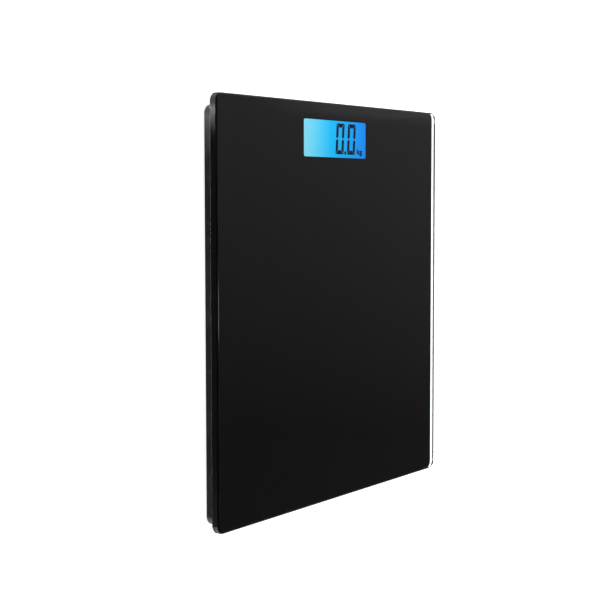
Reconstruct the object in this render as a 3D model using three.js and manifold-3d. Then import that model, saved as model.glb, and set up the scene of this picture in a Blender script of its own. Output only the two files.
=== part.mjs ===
// A slim electronic platform scale that lies on the floor: a square glass plate on a shallow
// plastic casing, a lit display under the glass, and four sensing feet.
//
// Millimetres. +Z is up, +Y points to the display end, +X to the right of someone who reads it.
// The origin is on the floor, under the middle of the glass.

import * as THREE from 'three';
import { mergeVertices } from 'three/addons/utils/BufferGeometryUtils.js';
import Module from 'manifold-3d';

const wasm = await Module();
wasm.setup();

// ---------------------------------------------------------------- driving dimensions

const SIDE = 280; // side of the square glass
const HALF = SIDE / 2;
const TOTAL_HEIGHT = 20;
const CLEAR = 0.3; // gap between parts that sit side by side
const SLIT = 0.1; // gap between parts stacked on each other

const GLASS_THICK = 6;
const GLASS_CORNER = 5.6;
const GLASS_BEVEL = 0.9;
const GLASS_UNDER = TOTAL_HEIGHT - GLASS_THICK;

const FILM_THICK = 0.2;
const FILM_TOP = GLASS_UNDER - 0.05;
const FILM_UNDER = FILM_TOP - FILM_THICK;
const FILM_MARGIN_SIDE = 2.4; // clear strip of glass along the left and right edges
const FILM_MARGIN_END = 0.6;
const FILM_CORNER = 4.6;

const WINDOW_LEFT = -39.7;
const WINDOW_RIGHT = 40;
const WINDOW_FRONT = 102.4;
const WINDOW_BACK = 128.1;
const WINDOW_CORNER = 1.6;

const CASING_BOTTOM = 4.5;
const CASING_TOP = FILM_UNDER - 0.05;
const CASING_LEFT = -HALF + 6.5;
const CASING_RIGHT = HALF - 6.5;
const CASING_FRONT = -HALF + 3.7;
const CASING_BACK = HALF - 7;
const CASING_CORNER = 5.6;
const CASING_EDGE = 1;
const WALL = 2;
const FLOOR_TOP = CASING_BOTTOM + 1.8;

const FOOT_REACH = 95; // each foot's centre, out from the middle along X and along Y
const SHELL_RADIUS = 21;
const SHELL_BOTTOM = 1.2;
const SHELL_TOP = 7.4;
const SHELL_WALL = 1.5;
const SHELL_WEB_TOP = 4;
const BOSS_RADIUS = 4; // the foot's central boss, which presses the load cell
const BOSS_TOP = 8.9;
const PAD_RADIUS = 18.9;
const PAD_TOP = 2;
const PAD_BEVEL = 0.7;
const GROOVE_RADIUS = 11.5; // a ring groove in the pad's underside
const GROOVE_DEPTH = 0.6;
const WELL_RADIUS = SHELL_RADIUS + 0.6;
const WELL_WALL = 2.2;
const WELL_TOP = 8.3;

const CELL_SIDE = 34;
const CELL_BOTTOM = BOSS_TOP + SLIT;
const CELL_TOP = CELL_BOTTOM + 1.4;
const TONGUE_SLIT_REACH = 9; // the slit's outer edge, out from the cell's middle
const TONGUE_SLIT_WIDTH = 2.5;
const TONGUE_ROOT = 8; // from the tongue's root to the cell's edge
const HOLDER_SIDE = 44;
const HOLDER_OPENING = 25;
const HOLDER_BAR_WIDTH = 11;
const HOLDER_BOTTOM = CELL_TOP + SLIT;
const HOLDER_TOP = CASING_TOP - SLIT;
const HOLDER_SCREW_REACH = 27;
const HOLDER_BAR_TOP = HOLDER_BOTTOM + 1.2;

const SCREW_SHANK = 1;
const SCREW_TIP = 0.5;
const SCREW_HEAD = 2.2;
const SCREW_HEAD_RIM = 0.7;
const SCREW_HEAD_HIGH = 1.5;
const LONG_SCREW = 4.5;
const SHORT_SCREW = 2.6;
const SCREW_HOLE = SCREW_SHANK + CLEAR;
const POST_RADIUS = 3;
const POST_HOLE_BOTTOM = FLOOR_TOP + 0.6;

const BOARD_WIDTH = 70;
const BOARD_FRONT = 50;
const BOARD_BACK = 90;
const BOARD_BOTTOM = 10.5;
const BOARD_TOP = 11.7;
const BOARD_SCREW_X = 31;
const BOARD_SCREW_IN = 4; // from the board's front and back edges
const BLOB_RADIUS = 6.4;
const BLOB_HIGH = 1.3;

const BUTTON_X = 24;
const BUTTON_Y = 70;
const BUTTON_RADIUS = 5;
const BUTTON_BOTTOM = 4.1;
const BUTTON_TOP = 7.1;
const BUTTON_TRAVEL = 0.8;
const BUTTON_FLANGE = BUTTON_RADIUS + 1.6;
const BUTTON_GUIDE = BUTTON_RADIUS + 3.4; // outside of the casing's collar round the button
const BUTTON_DISH = BUTTON_RADIUS + 2.4; // shallow dish round it in the casing's underside
const BUTTON_DISH_DEEP = 0.5;
const SWITCH_SIDE = 6;
const PLUNGER_RADIUS = 1.6;

const BATTERY_RADIUS = 10;
const BATTERY_THICK = 3.2;
const BATTERY_BOTTOM = 6.7;
const BATTERY_TOP = BATTERY_BOTTOM + BATTERY_THICK;
const BAY_HALF_WIDTH = 15.2; // the battery opening in the casing's floor
const BAY_FRONT = -10.2;
const BAY_BACK = 18.2;
const BAY_WALL = 1.8;
const BAY_TOP = 10.9;
const BATTERY_HOLDER_BACK = 16.4;
const BATTERY_Y = (BAY_FRONT + CLEAR + BATTERY_HOLDER_BACK) / 2;
const CONTACT_THICK = 0.2;
const LEAF_BACK = 10.3; // where the upper contact turns up through the holder
const BLADE_X = 10.4; // where the side contact stands against the battery's rim

const DOOR_THICK = 1.4;
const DOOR_AXIS_Y = BAY_FRONT + 1.1;
const DOOR_AXIS_Z = CASING_BOTTOM + 0.8;
const DOOR_PIN = 0.45;
const DOOR_PIN_HOLE = 0.6;
const DOOR_PIN_REACH = 1.4;
const SCOOP_RADIUS = 7;
const SCOOP_DEEP = 0.6;
const DOOR_STOP_TOP = 7.2;

const LCD_WIDTH = 87;
const LCD_FRONT = 100.3;
const LCD_BACK = 129.8;
const LCD_BOTTOM = 11.7;
const LCD_MIDDLE = 12.6;
const LCD_TOP = FILM_UNDER - 0.2;
const FRAME_LEFT = -49;
const FRAME_RIGHT = 45.5;
const FRAME_FRONT = 98.8;
const FRAME_BACK = CASING_BACK - WALL - 0.25;
const FRAME_BOTTOM = FLOOR_TOP + 0.2;
const FRAME_FLOOR = 8;
const FRAME_EAR_X = 53;
const FRAME_EAR_Y = 104;
const FRAME_EAR_BOTTOM = 8.6;
const FRAME_EAR_TOP = 10;
const FRAME_TOP = 13.5;
const FRAME_WALL = 1.2;
const GUIDE_BOTTOM = 8.6;
const REFLECTOR_TOP = 8.4;
const LED_PLACES = [107, 115, 123];
const LED_HALF_LENGTH = 1.6;
const RIBBON_WIDTH = 30;
const RIBBON_THICK = 0.3;
const RIBBON_FRONT = 84;

const TAPE_WIDTH = 8;
const TAPE_LONG = 120;
const TAPE_SHORT = 54;
const TAPE_SHORT_X = 86; // middles of the two strips beside the display
const SHELF_WIDTH = 9;
const SHELF_TOP = 12.7;
const SHELF_THICK = 1.6;
const GUSSET_THICK = 1.4;

const LEAD_RADIUS = 0.7;

const RIB_THICK = 1.4;
const RIB_TOP = 10;
const RIB_REACH = 50; // the ribbed middle of the floor, out from the middle along X
const RIB_FRONT = -118;
const RIB_ROWS = [-95, -60, -25, 40];
const ROOT = 1; // how far ribs, posts and gussets sink into what they grow from

const CORNERS = [
  { name: 'front_left', x: -FOOT_REACH, y: -FOOT_REACH },
  { name: 'front_right', x: FOOT_REACH, y: -FOOT_REACH },
  { name: 'back_left', x: -FOOT_REACH, y: FOOT_REACH },
  { name: 'back_right', x: FOOT_REACH, y: FOOT_REACH },
];

// The long foam strips that hold the casing to the glass, by the middle of each strip.
const TAPE_INSET = WALL + SHELF_WIDTH / 2;
const TAPES = [
  { name: 'left', x: CASING_LEFT + TAPE_INSET, y: 0, width: TAPE_WIDTH, length: TAPE_LONG },
  { name: 'right', x: CASING_RIGHT - TAPE_INSET, y: 0, width: TAPE_WIDTH, length: TAPE_LONG },
  { name: 'front', x: 0, y: CASING_FRONT + TAPE_INSET, width: TAPE_LONG, length: TAPE_WIDTH },
  { name: 'back_left', x: -TAPE_SHORT_X, y: CASING_BACK - TAPE_INSET, width: TAPE_SHORT, length: TAPE_WIDTH },
  { name: 'back_right', x: TAPE_SHORT_X, y: CASING_BACK - TAPE_INSET, width: TAPE_SHORT, length: TAPE_WIDTH },
];

// ---------------------------------------------------------------- materials

function plain(colour, roughness, metalness = 0) {
  return new THREE.MeshStandardMaterial({ color: colour, roughness, metalness });
}

const MATERIALS = {
  glass: new THREE.MeshStandardMaterial({
    color: 0xb9c9c6, roughness: 0.03, metalness: 0, transparent: true, opacity: 0.35,
  }),
  film: plain(0x0b0b0c, 0.4),
  casing: plain(0x2a2a2c, 0.55),
  foam: plain(0xd9d9d4, 0.9),
  rubber: plain(0x1b1b1b, 0.85),
  steel: plain(0xb4b6b8, 0.35, 1),
  white: plain(0xe8e8e4, 0.6),
  lightGuide: plain(0x8fd8f5, 0.15),
  display: plain(0x2fb4f5, 0.1),
  board: plain(0x1f5a36, 0.5),
  blob: plain(0x101010, 0.3),
  ribbon: plain(0xc98f3a, 0.45),
  brass: plain(0xc9a75a, 0.35, 1),
  wire: plain(0xb03028, 0.5),
};

// ---------------------------------------------------------------- shapes and solids

function roundedRectangle(width, length, radius, x = 0, y = 0) {
  const right = width / 2 - radius;
  const back = length / 2 - radius;
  const shape = new THREE.Shape();
  shape.absarc(x + right, y - back, radius, -Math.PI / 2, 0);
  shape.absarc(x + right, y + back, radius, 0, Math.PI / 2);
  shape.absarc(x - right, y + back, radius, Math.PI / 2, Math.PI);
  shape.absarc(x - right, y - back, radius, Math.PI, Math.PI * 1.5);
  shape.closePath();
  return shape;
}

// An upright extrusion of a shape from one height to another, with both rims rounded by `edge`.
function plate(shape, bottom, top, edge = 0, corners = 4) {
  const geometry = new THREE.ExtrudeGeometry(shape, {
    depth: top - bottom - 2 * edge,
    curveSegments: corners,
    bevelEnabled: edge > 0,
    bevelThickness: edge,
    bevelSize: edge,
    bevelOffset: -edge,
    bevelSegments: 3,
  });
  return geometry.translate(0, 0, bottom + edge);
}

function block(left, right, front, back, bottom, top) {
  const geometry = new THREE.BoxGeometry(right - left, back - front, top - bottom);
  return geometry.translate((left + right) / 2, (front + back) / 2, (bottom + top) / 2);
}

function upright(x, y, bottom, top, radius, sides = 24) {
  const geometry = new THREE.CylinderGeometry(radius, radius, top - bottom, sides);
  return geometry.rotateX(Math.PI / 2).translate(x, y, (bottom + top) / 2);
}

function alongX(left, right, y, z, radius, sides = 16) {
  const geometry = new THREE.CylinderGeometry(radius, radius, right - left, sides);
  return geometry.rotateZ(Math.PI / 2).translate((left + right) / 2, y, z);
}

// A turned piece about the Z axis. The profile is a list of [radius, height], from the axis at
// the bottom, round the outside, to the axis at the top.
function turned(profile, sides = 28) {
  const points = profile.map(([radius, height]) => new THREE.Vector2(radius, height));
  return new THREE.LatheGeometry(points, sides).rotateX(Math.PI / 2);
}

// The closed solid of a geometry, for cutting and joining.
function solid(geometry) {
  const bare = geometry.clone();
  bare.deleteAttribute('normal');
  bare.deleteAttribute('uv');
  const merged = mergeVertices(bare, 1e-4);
  const corners = merged.index.array;
  const triangles = [];
  for (let i = 0; i < corners.length; i += 3) {
    const [a, b, c] = [corners[i], corners[i + 1], corners[i + 2]];
    if (a !== b && b !== c && c !== a) {
      triangles.push(a, b, c);
    }
  }
  return new wasm.Manifold(new wasm.Mesh({
    numProp: 3,
    vertProperties: new Float32Array(merged.attributes.position.array),
    triVerts: new Uint32Array(triangles),
  }));
}

function joined(...geometries) {
  return geometries.map(solid).reduce((whole, piece) => whole.add(piece));
}

function cutBy(whole, ...geometries) {
  return geometries.map(solid).reduce((rest, tool) => rest.subtract(tool), whole);
}

function geometryOf(whole) {
  const mesh = whole.getMesh();
  const geometry = new THREE.BufferGeometry();
  geometry.setAttribute('position', new THREE.BufferAttribute(mesh.vertProperties, 3));
  geometry.setIndex(new THREE.BufferAttribute(mesh.triVerts, 1));
  geometry.computeVertexNormals();
  return geometry;
}

// ---------------------------------------------------------------- the assembly

const scale = new THREE.Group();
scale.name = 'platform_scale';

function addPart(name, geometry, material, x = 0, y = 0, z = 0) {
  const mesh = new THREE.Mesh(geometry, material);
  mesh.name = name;
  mesh.position.set(x, y, z);
  scale.add(mesh);
}

// The toughened glass that a person stands on.
function addGlass() {
  const outline = roundedRectangle(SIDE, SIDE, GLASS_CORNER);
  const glass = plate(outline, GLASS_UNDER, TOTAL_HEIGHT, GLASS_BEVEL, 6);
  addPart('glass_platform', glass, MATERIALS.glass);
}

// The black film bonded under the glass, with the display's window left open.
function addFilm() {
  const width = SIDE - 2 * FILM_MARGIN_SIDE;
  const length = SIDE - 2 * FILM_MARGIN_END;
  const outline = roundedRectangle(width, length, FILM_CORNER);
  const window = roundedRectangle(
    WINDOW_RIGHT - WINDOW_LEFT, WINDOW_BACK - WINDOW_FRONT, WINDOW_CORNER,
    (WINDOW_LEFT + WINDOW_RIGHT) / 2, (WINDOW_FRONT + WINDOW_BACK) / 2,
  );
  outline.holes.push(window);
  addPart('backing_film', plate(outline, FILM_UNDER, FILM_TOP), MATERIALS.film);
}

function addTapes() {
  for (const tape of TAPES) {
    const outline = roundedRectangle(tape.width, tape.length, 1);
    const strip = plate(outline, SHELF_TOP + SLIT, FILM_UNDER - SLIT, 0, 2);
    addPart(`foam_tape_${tape.name}`, strip, MATERIALS.foam, tape.x, tape.y);
  }
}

// ---------------------------------------------------------------- the casing

// The shelf under one foam strip, carried by three gussets off the casing's wall.
function shelfPieces(tape) {
  const runsAlongX = tape.width > tape.length;
  const halfLong = Math.max(tape.width, tape.length) / 2 + 2;
  const halfShort = SHELF_WIDTH / 2 + 0.5;
  const span = (offset, long, bottom, top) => {
    const x = tape.x + (runsAlongX ? offset : 0);
    const y = tape.y + (runsAlongX ? 0 : offset);
    const reachX = runsAlongX ? long : halfShort;
    const reachY = runsAlongX ? halfShort : long;
    return block(x - reachX, x + reachX, y - reachY, y + reachY, bottom, top);
  };
  const shelf = span(0, halfLong, SHELF_TOP - SHELF_THICK, SHELF_TOP);
  const gussets = [-0.7, 0, 0.7].map((place) => span(
    place * halfLong, GUSSET_THICK / 2, FLOOR_TOP - ROOT, SHELF_TOP - SHELF_THICK / 2,
  ));
  return [shelf, ...gussets];
}

function casingTray() {
  const width = CASING_RIGHT - CASING_LEFT;
  const length = CASING_BACK - CASING_FRONT;
  const middleY = (CASING_FRONT + CASING_BACK) / 2;
  const outer = roundedRectangle(width, length, CASING_CORNER, 0, middleY);
  const inner = roundedRectangle(
    width - 2 * WALL, length - 2 * WALL, CASING_CORNER - WALL, 0, middleY,
  );
  const body = solid(plate(outer, CASING_BOTTOM, CASING_TOP + CASING_EDGE, CASING_EDGE));
  const above = block(-SIDE, SIDE, -SIDE, SIDE, CASING_TOP, TOTAL_HEIGHT);
  return cutBy(body, plate(inner, FLOOR_TOP, TOTAL_HEIGHT, 0, 3), above);
}

// Stiffening ribs on the floor between the feet, which stop at the battery bay.
function ribPieces() {
  const half = RIB_THICK / 2;
  const backRow = RIB_ROWS.at(-1);
  const bayRow = RIB_ROWS.at(-2);
  const upAt = (x, front, back) => block(x - half, x + half, front, back, FLOOR_TOP - ROOT, RIB_TOP);
  const pieces = RIB_ROWS.map(
    (y) => block(-RIB_REACH, RIB_REACH, y - half, y + half, FLOOR_TOP - ROOT, RIB_TOP),
  );
  for (const side of [-1, 1]) {
    const bayWall = side * (BAY_HALF_WIDTH + BAY_WALL / 2);
    pieces.push(upAt(side * RIB_REACH, RIB_FRONT, backRow + half));
    pieces.push(upAt(bayWall, bayRow, BAY_FRONT));
    pieces.push(upAt(bayWall, BAY_BACK, backRow));
  }
  return pieces;
}

// The block that the battery bay's opening is cut through.
function bayBlock() {
  return block(
    -BAY_HALF_WIDTH - BAY_WALL, BAY_HALF_WIDTH + BAY_WALL, BAY_FRONT - BAY_WALL, BAY_BACK + BAY_WALL,
    FLOOR_TOP - ROOT, BAY_TOP,
  );
}

// Where a screw post stands on the floor, and how high it reaches.
function postPlaces() {
  const places = [];
  for (const corner of CORNERS) {
    for (const side of [-1, 1]) {
      places.push({ x: corner.x + side * HOLDER_SCREW_REACH, y: corner.y, top: HOLDER_BOTTOM - SLIT });
    }
  }
  for (const x of [-BOARD_SCREW_X, BOARD_SCREW_X]) {
    for (const y of [BOARD_FRONT + BOARD_SCREW_IN, BOARD_BACK - BOARD_SCREW_IN]) {
      places.push({ x, y, top: BOARD_BOTTOM - SLIT });
    }
  }
  for (const x of [-FRAME_EAR_X, FRAME_EAR_X]) {
    places.push({ x, y: FRAME_EAR_Y, top: FRAME_EAR_BOTTOM - SLIT });
  }
  return places;
}

// The finger scoop that spans the door's back edge and the casing beside it.
function fingerScoop() {
  return upright(0, BAY_BACK + 0.5, 0, CASING_BOTTOM + SCOOP_DEEP, SCOOP_RADIUS);
}

// The ledge that the shut door's back edge lies against.
function doorStop() {
  const reach = BAY_HALF_WIDTH - 1.2;
  return block(-reach, reach, BAY_BACK - 1.2, BAY_BACK + 1, CASING_BOTTOM + DOOR_THICK + SLIT, DOOR_STOP_TOP);
}

function addCasing() {
  const posts = postPlaces();
  const additions = [
    ...TAPES.flatMap(shelfPieces),
    ...ribPieces(),
    bayBlock(),
    upright(BUTTON_X, BUTTON_Y, FLOOR_TOP - ROOT, BUTTON_TOP + 0.6, BUTTON_GUIDE),
    ...CORNERS.map((corner) => upright(
      corner.x, corner.y, CASING_BOTTOM, WELL_TOP, WELL_RADIUS + WELL_WALL, 32,
    )),
    ...posts.map((post) => upright(post.x, post.y, FLOOR_TOP - ROOT, post.top, POST_RADIUS, 10)),
  ];
  const pinHoleReach = BAY_HALF_WIDTH + DOOR_PIN_REACH;
  const cuts = [
    ...CORNERS.map((corner) => upright(corner.x, corner.y, 0, TOTAL_HEIGHT, WELL_RADIUS, 32)),
    ...posts.map((post) => upright(post.x, post.y, POST_HOLE_BOTTOM, TOTAL_HEIGHT, SCREW_HOLE, 8)),
    block(-BAY_HALF_WIDTH, BAY_HALF_WIDTH, BAY_FRONT, BAY_BACK, 0, TOTAL_HEIGHT),
    alongX(-pinHoleReach, pinHoleReach, DOOR_AXIS_Y, DOOR_AXIS_Z, DOOR_PIN_HOLE, 12),
    fingerScoop(),
    upright(BUTTON_X, BUTTON_Y, 0, TOTAL_HEIGHT, BUTTON_RADIUS + 0.4),
    upright(BUTTON_X, BUTTON_Y, FLOOR_TOP, TOTAL_HEIGHT, BUTTON_FLANGE + 0.6),
    upright(BUTTON_X, BUTTON_Y, 0, CASING_BOTTOM + BUTTON_DISH_DEEP, BUTTON_DISH),
  ];
  const whole = additions.map(solid).reduce((tray, piece) => tray.add(piece), casingTray());
  const casing = cutBy(whole, ...cuts).add(solid(doorStop()));
  addPart('casing', geometryOf(casing), MATERIALS.casing);
}

// ---------------------------------------------------------------- feet and load cells

// A pan-head screw whose head is seated at height 0.
function screw(length = LONG_SCREW) {
  return turned([
    [0, -length], [SCREW_TIP, -length], [SCREW_SHANK, -length + 0.8], [SCREW_SHANK, 0],
    [SCREW_HEAD, 0], [SCREW_HEAD, SCREW_HEAD_RIM], [0, SCREW_HEAD_HIGH],
  ], 8);
}

// An upside-down cup with a boss on its web, open below for the rubber pad.
function footShell() {
  const recess = PAD_RADIUS + CLEAR;
  const ceiling = PAD_TOP + 0.2;
  const inside = SHELL_RADIUS - SHELL_WALL;
  return turned([
    [0, ceiling], [recess, ceiling], [recess, SHELL_BOTTOM], [SHELL_RADIUS - 0.4, SHELL_BOTTOM],
    [SHELL_RADIUS, SHELL_BOTTOM + 0.5], [SHELL_RADIUS, SHELL_TOP - 0.3], [SHELL_RADIUS - 0.3, SHELL_TOP],
    [inside, SHELL_TOP], [inside, SHELL_WEB_TOP], [BOSS_RADIUS, SHELL_WEB_TOP],
    [BOSS_RADIUS, BOSS_TOP], [0, BOSS_TOP],
  ], 28);
}

function footPad() {
  return turned([
    [0, 0], [GROOVE_RADIUS - 1.5, 0], [GROOVE_RADIUS - 0.9, GROOVE_DEPTH],
    [GROOVE_RADIUS + 0.9, GROOVE_DEPTH], [GROOVE_RADIUS + 1.5, 0], [PAD_RADIUS - PAD_BEVEL, 0],
    [PAD_RADIUS, PAD_BEVEL], [PAD_RADIUS, PAD_TOP], [0, PAD_TOP],
  ], 28);
}

// A steel plate with a U-shaped slit that frees a tongue in its middle.
function loadCell() {
  const outer = TONGUE_SLIT_REACH;
  const inner = outer - TONGUE_SLIT_WIDTH;
  const front = -CELL_SIDE / 2 + 6;
  const back = CELL_SIDE / 2 - TONGUE_ROOT;
  const slit = new THREE.Path();
  slit.moveTo(-outer, front);
  slit.lineTo(outer, front);
  slit.lineTo(outer, back);
  slit.lineTo(inner, back);
  slit.lineTo(inner, front + TONGUE_SLIT_WIDTH);
  slit.lineTo(-inner, front + TONGUE_SLIT_WIDTH);
  slit.lineTo(-inner, back);
  slit.lineTo(-outer, back);
  slit.closePath();
  const outline = roundedRectangle(CELL_SIDE, CELL_SIDE, 2.5);
  outline.holes.push(slit);
  return plate(outline, CELL_BOTTOM, CELL_TOP, 0, 2);
}

// The plastic frame that carries the glass on the load cell's rim, with a screw bar through it.
function cellHolder() {
  const ring = solid(plate(roundedRectangle(HOLDER_SIDE, HOLDER_SIDE, 4), HOLDER_BOTTOM, HOLDER_TOP, 0, 2));
  const barOutline = roundedRectangle(2 * HOLDER_SCREW_REACH + 8, HOLDER_BAR_WIDTH, 4);
  const bar = solid(plate(barOutline, HOLDER_BOTTOM, HOLDER_BAR_TOP, 0, 2));
  const opening = plate(roundedRectangle(HOLDER_OPENING, HOLDER_OPENING, 2), 0, TOTAL_HEIGHT, 0, 1);
  const holes = [-1, 1].map((side) => upright(side * HOLDER_SCREW_REACH, 0, 0, TOTAL_HEIGHT, SCREW_HOLE, 8));
  return geometryOf(cutBy(ring.add(bar), opening, ...holes));
}

function addFeet() {
  for (const { name, x, y } of CORNERS) {
    addPart(`foot_pad_${name}`, footPad(), MATERIALS.rubber, x, y);
    addPart(`foot_shell_${name}`, footShell(), MATERIALS.casing, x, y);
    addPart(`load_cell_${name}`, loadCell(), MATERIALS.steel, x, y);
    addPart(`cell_holder_${name}`, cellHolder(), MATERIALS.white, x, y);
    const inner = x - Math.sign(x) * HOLDER_SCREW_REACH;
    const outer = x + Math.sign(x) * HOLDER_SCREW_REACH;
    const seat = HOLDER_BAR_TOP + SLIT;
    addPart(`cell_screw_inner_${name}`, screw(), MATERIALS.steel, inner, y, seat);
    addPart(`cell_screw_outer_${name}`, screw(), MATERIALS.steel, outer, y, seat);
  }
}

// ---------------------------------------------------------------- leads

function tubeAlong(points, radius) {
  const curve = new THREE.CatmullRomCurve3(points.map(([x, y, z]) => new THREE.Vector3(x, y, z)));
  const section = new THREE.Shape().absarc(0, 0, radius, 0, 2 * Math.PI);
  return new THREE.ExtrudeGeometry(section, {
    extrudePath: curve,
    steps: points.length * 2,
    curveSegments: 4,
  });
}

function addLeads() {
  const start = CELL_SIDE / 2 + CLEAR;
  const onFloor = FLOOR_TOP + LEAD_RADIUS + CLEAR;
  const cellMiddle = (CELL_BOTTOM + CELL_TOP) / 2;
  const boardMiddle = (BOARD_BOTTOM + BOARD_TOP) / 2;
  const boardSide = BOARD_WIDTH / 2 + CLEAR;
  for (const { name, x, y } of CORNERS) {
    const side = Math.sign(x);
    const toMiddle = -Math.sign(y);
    const leaving = [[x, y + toMiddle * start, cellMiddle], [x, y + toMiddle * 23, cellMiddle]];
    const front = [
      [side * 90, -62, onFloor], [side * 74, -54, onFloor], [side * 65, -40, onFloor],
      [side * 63, 0, onFloor], [side * 62, 36, onFloor], [side * 54, 54, onFloor + 1],
      [side * 42, 61, boardMiddle], [side * boardSide, 61, boardMiddle],
    ];
    const back = [
      [side * 86, 66, onFloor], [side * 70, 68, onFloor], [side * 54, 74, onFloor + 1],
      [side * 43, 79, boardMiddle], [side * boardSide, 79, boardMiddle],
    ];
    const route = leaving.concat(y < 0 ? front : back);
    addPart(`cell_lead_${name}`, tubeAlong(route, LEAD_RADIUS), MATERIALS.wire);
  }
  const overBay = BAY_TOP + LEAD_RADIUS + CLEAR;
  const boardEdge = BOARD_FRONT - CLEAR;
  const negative = [
    [0, 10.9, overBay], [0, 17, overBay], [-2, 30, boardMiddle], [-4, 42, boardMiddle],
    [-4, boardEdge, boardMiddle],
  ];
  const positive = [
    [11.6, BATTERY_Y, overBay], [12.6, 12, overBay], [10, 24, overBay], [5, 42, boardMiddle],
    [4, boardEdge, boardMiddle],
  ];
  addPart('battery_lead_negative', tubeAlong(negative, LEAD_RADIUS), MATERIALS.wire);
  addPart('battery_lead_positive', tubeAlong(positive, LEAD_RADIUS), MATERIALS.wire);
}

// ---------------------------------------------------------------- circuit board and button

function addBoard() {
  const middleY = (BOARD_FRONT + BOARD_BACK) / 2;
  const outline = roundedRectangle(BOARD_WIDTH, BOARD_BACK - BOARD_FRONT, 1.5, 0, middleY);
  const screwX = [-BOARD_SCREW_X, BOARD_SCREW_X];
  const screwY = [BOARD_FRONT + BOARD_SCREW_IN, BOARD_BACK - BOARD_SCREW_IN];
  let number = 0;
  for (const x of screwX) {
    for (const y of screwY) {
      outline.holes.push(new THREE.Path().absarc(x, y, SCREW_HOLE, 0, 2 * Math.PI));
      number += 1;
      addPart(`board_screw_${number}`, screw(), MATERIALS.steel, x, y, BOARD_TOP + SLIT);
    }
  }
  addPart('circuit_board', plate(outline, BOARD_BOTTOM, BOARD_TOP, 0, 3), MATERIALS.board);

  const dome = [0, 0.2, 0.4, 0.6, 0.8].map((part) => [
    BLOB_RADIUS * Math.cos(part * Math.PI / 2), BLOB_HIGH * Math.sin(part * Math.PI / 2),
  ]);
  const blob = turned([[0, 0], ...dome, [0, BLOB_HIGH]], 24);
  addPart('chip_cap', blob, MATERIALS.blob, -10, middleY + 2, BOARD_TOP + 0.05);
}

function addButton() {
  const flangeBottom = FLOOR_TOP + 0.2;
  const cap = turned([
    [0, BUTTON_BOTTOM], [BUTTON_RADIUS - 0.4, BUTTON_BOTTOM], [BUTTON_RADIUS, BUTTON_BOTTOM + 0.4],
    [BUTTON_RADIUS, flangeBottom], [BUTTON_FLANGE, flangeBottom], [BUTTON_FLANGE, BUTTON_TOP],
    [0, BUTTON_TOP],
  ]);
  addPart('unit_button', cap, MATERIALS.casing, BUTTON_X, BUTTON_Y);

  const half = SWITCH_SIDE / 2;
  const plungerEnd = BUTTON_TOP + BUTTON_TRAVEL + 0.2;
  const bodyBottom = plungerEnd + 0.8;
  const body = block(-half, half, -half, half, bodyBottom, BOARD_BOTTOM - 0.05);
  const plunger = upright(0, 0, plungerEnd, bodyBottom + 0.4, PLUNGER_RADIUS, 16);
  addPart('tact_switch', geometryOf(joined(body, plunger)), MATERIALS.blob, BUTTON_X, BUTTON_Y);
}

// ---------------------------------------------------------------- battery

function addBattery() {
  const rim = 0.4;
  const cell = turned([
    [0, BATTERY_BOTTOM], [BATTERY_RADIUS - rim, BATTERY_BOTTOM], [BATTERY_RADIUS, BATTERY_BOTTOM + rim],
    [BATTERY_RADIUS, BATTERY_TOP - rim], [BATTERY_RADIUS - rim, BATTERY_TOP], [0, BATTERY_TOP],
  ], 28);
  addPart('coin_battery', cell, MATERIALS.steel, 0, BATTERY_Y);

  const side = BAY_HALF_WIDTH - CLEAR;
  const holderBottom = BATTERY_BOTTOM - SLIT;
  const body = block(-side, side, BAY_FRONT + CLEAR, BATTERY_HOLDER_BACK, holderBottom, BAY_TOP + 0.1);
  const pocketTop = BATTERY_TOP + CONTACT_THICK + 0.2;
  const pocket = upright(0, BATTERY_Y, 0, pocketTop, BATTERY_RADIUS + CLEAR, 28);
  const tailSlot = block(-3, 3, LEAF_BACK - 0.9, LEAF_BACK + 0.5, 0, TOTAL_HEIGHT);
  const bladeSlot = block(BLADE_X - 1.4, BLADE_X + 0.8, BATTERY_Y - 4.5, BATTERY_Y + 4.5, 0, TOTAL_HEIGHT);
  const holder = cutBy(solid(body), pocket, tailSlot, bladeSlot);
  addPart('battery_holder', geometryOf(holder), MATERIALS.white);

  const contactTop = BAY_TOP + 1;
  const leafBottom = BATTERY_TOP + SLIT;
  const leaf = block(-2.5, 2.5, -3, LEAF_BACK, leafBottom, leafBottom + CONTACT_THICK);
  const leafTail = block(-2.5, 2.5, LEAF_BACK - 0.3, LEAF_BACK, leafBottom, contactTop);
  addPart('contact_negative', geometryOf(joined(leaf, leafTail)), MATERIALS.brass);

  const blade = block(
    BLADE_X, BLADE_X + 0.3, BATTERY_Y - 3.5, BATTERY_Y + 3.5, BATTERY_BOTTOM + 0.5, contactTop,
  );
  addPart('contact_positive', blade, MATERIALS.brass);
}

// The hatch turns on two stub pins at its front edge and opens downwards.
function addBatteryDoor() {
  const side = BAY_HALF_WIDTH - CLEAR;
  const top = CASING_BOTTOM + DOOR_THICK;
  const panel = block(-side, side, DOOR_AXIS_Y, BAY_BACK - CLEAR, CASING_BOTTOM, top);
  const barrel = alongX(-side, side, DOOR_AXIS_Y, DOOR_AXIS_Z, 0.8);
  const pinEnd = BAY_HALF_WIDTH + DOOR_PIN_REACH - CLEAR;
  const pins = alongX(-pinEnd, pinEnd, DOOR_AXIS_Y, DOOR_AXIS_Z, DOOR_PIN, 12);
  const presser = block(-6, 6, BATTERY_Y - 6, BATTERY_Y + 6, top - 0.2, top + 0.5);
  const door = cutBy(joined(panel, barrel, pins, presser), fingerScoop());
  addPart('battery_door', geometryOf(door), MATERIALS.casing);
}

// ---------------------------------------------------------------- display

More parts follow.
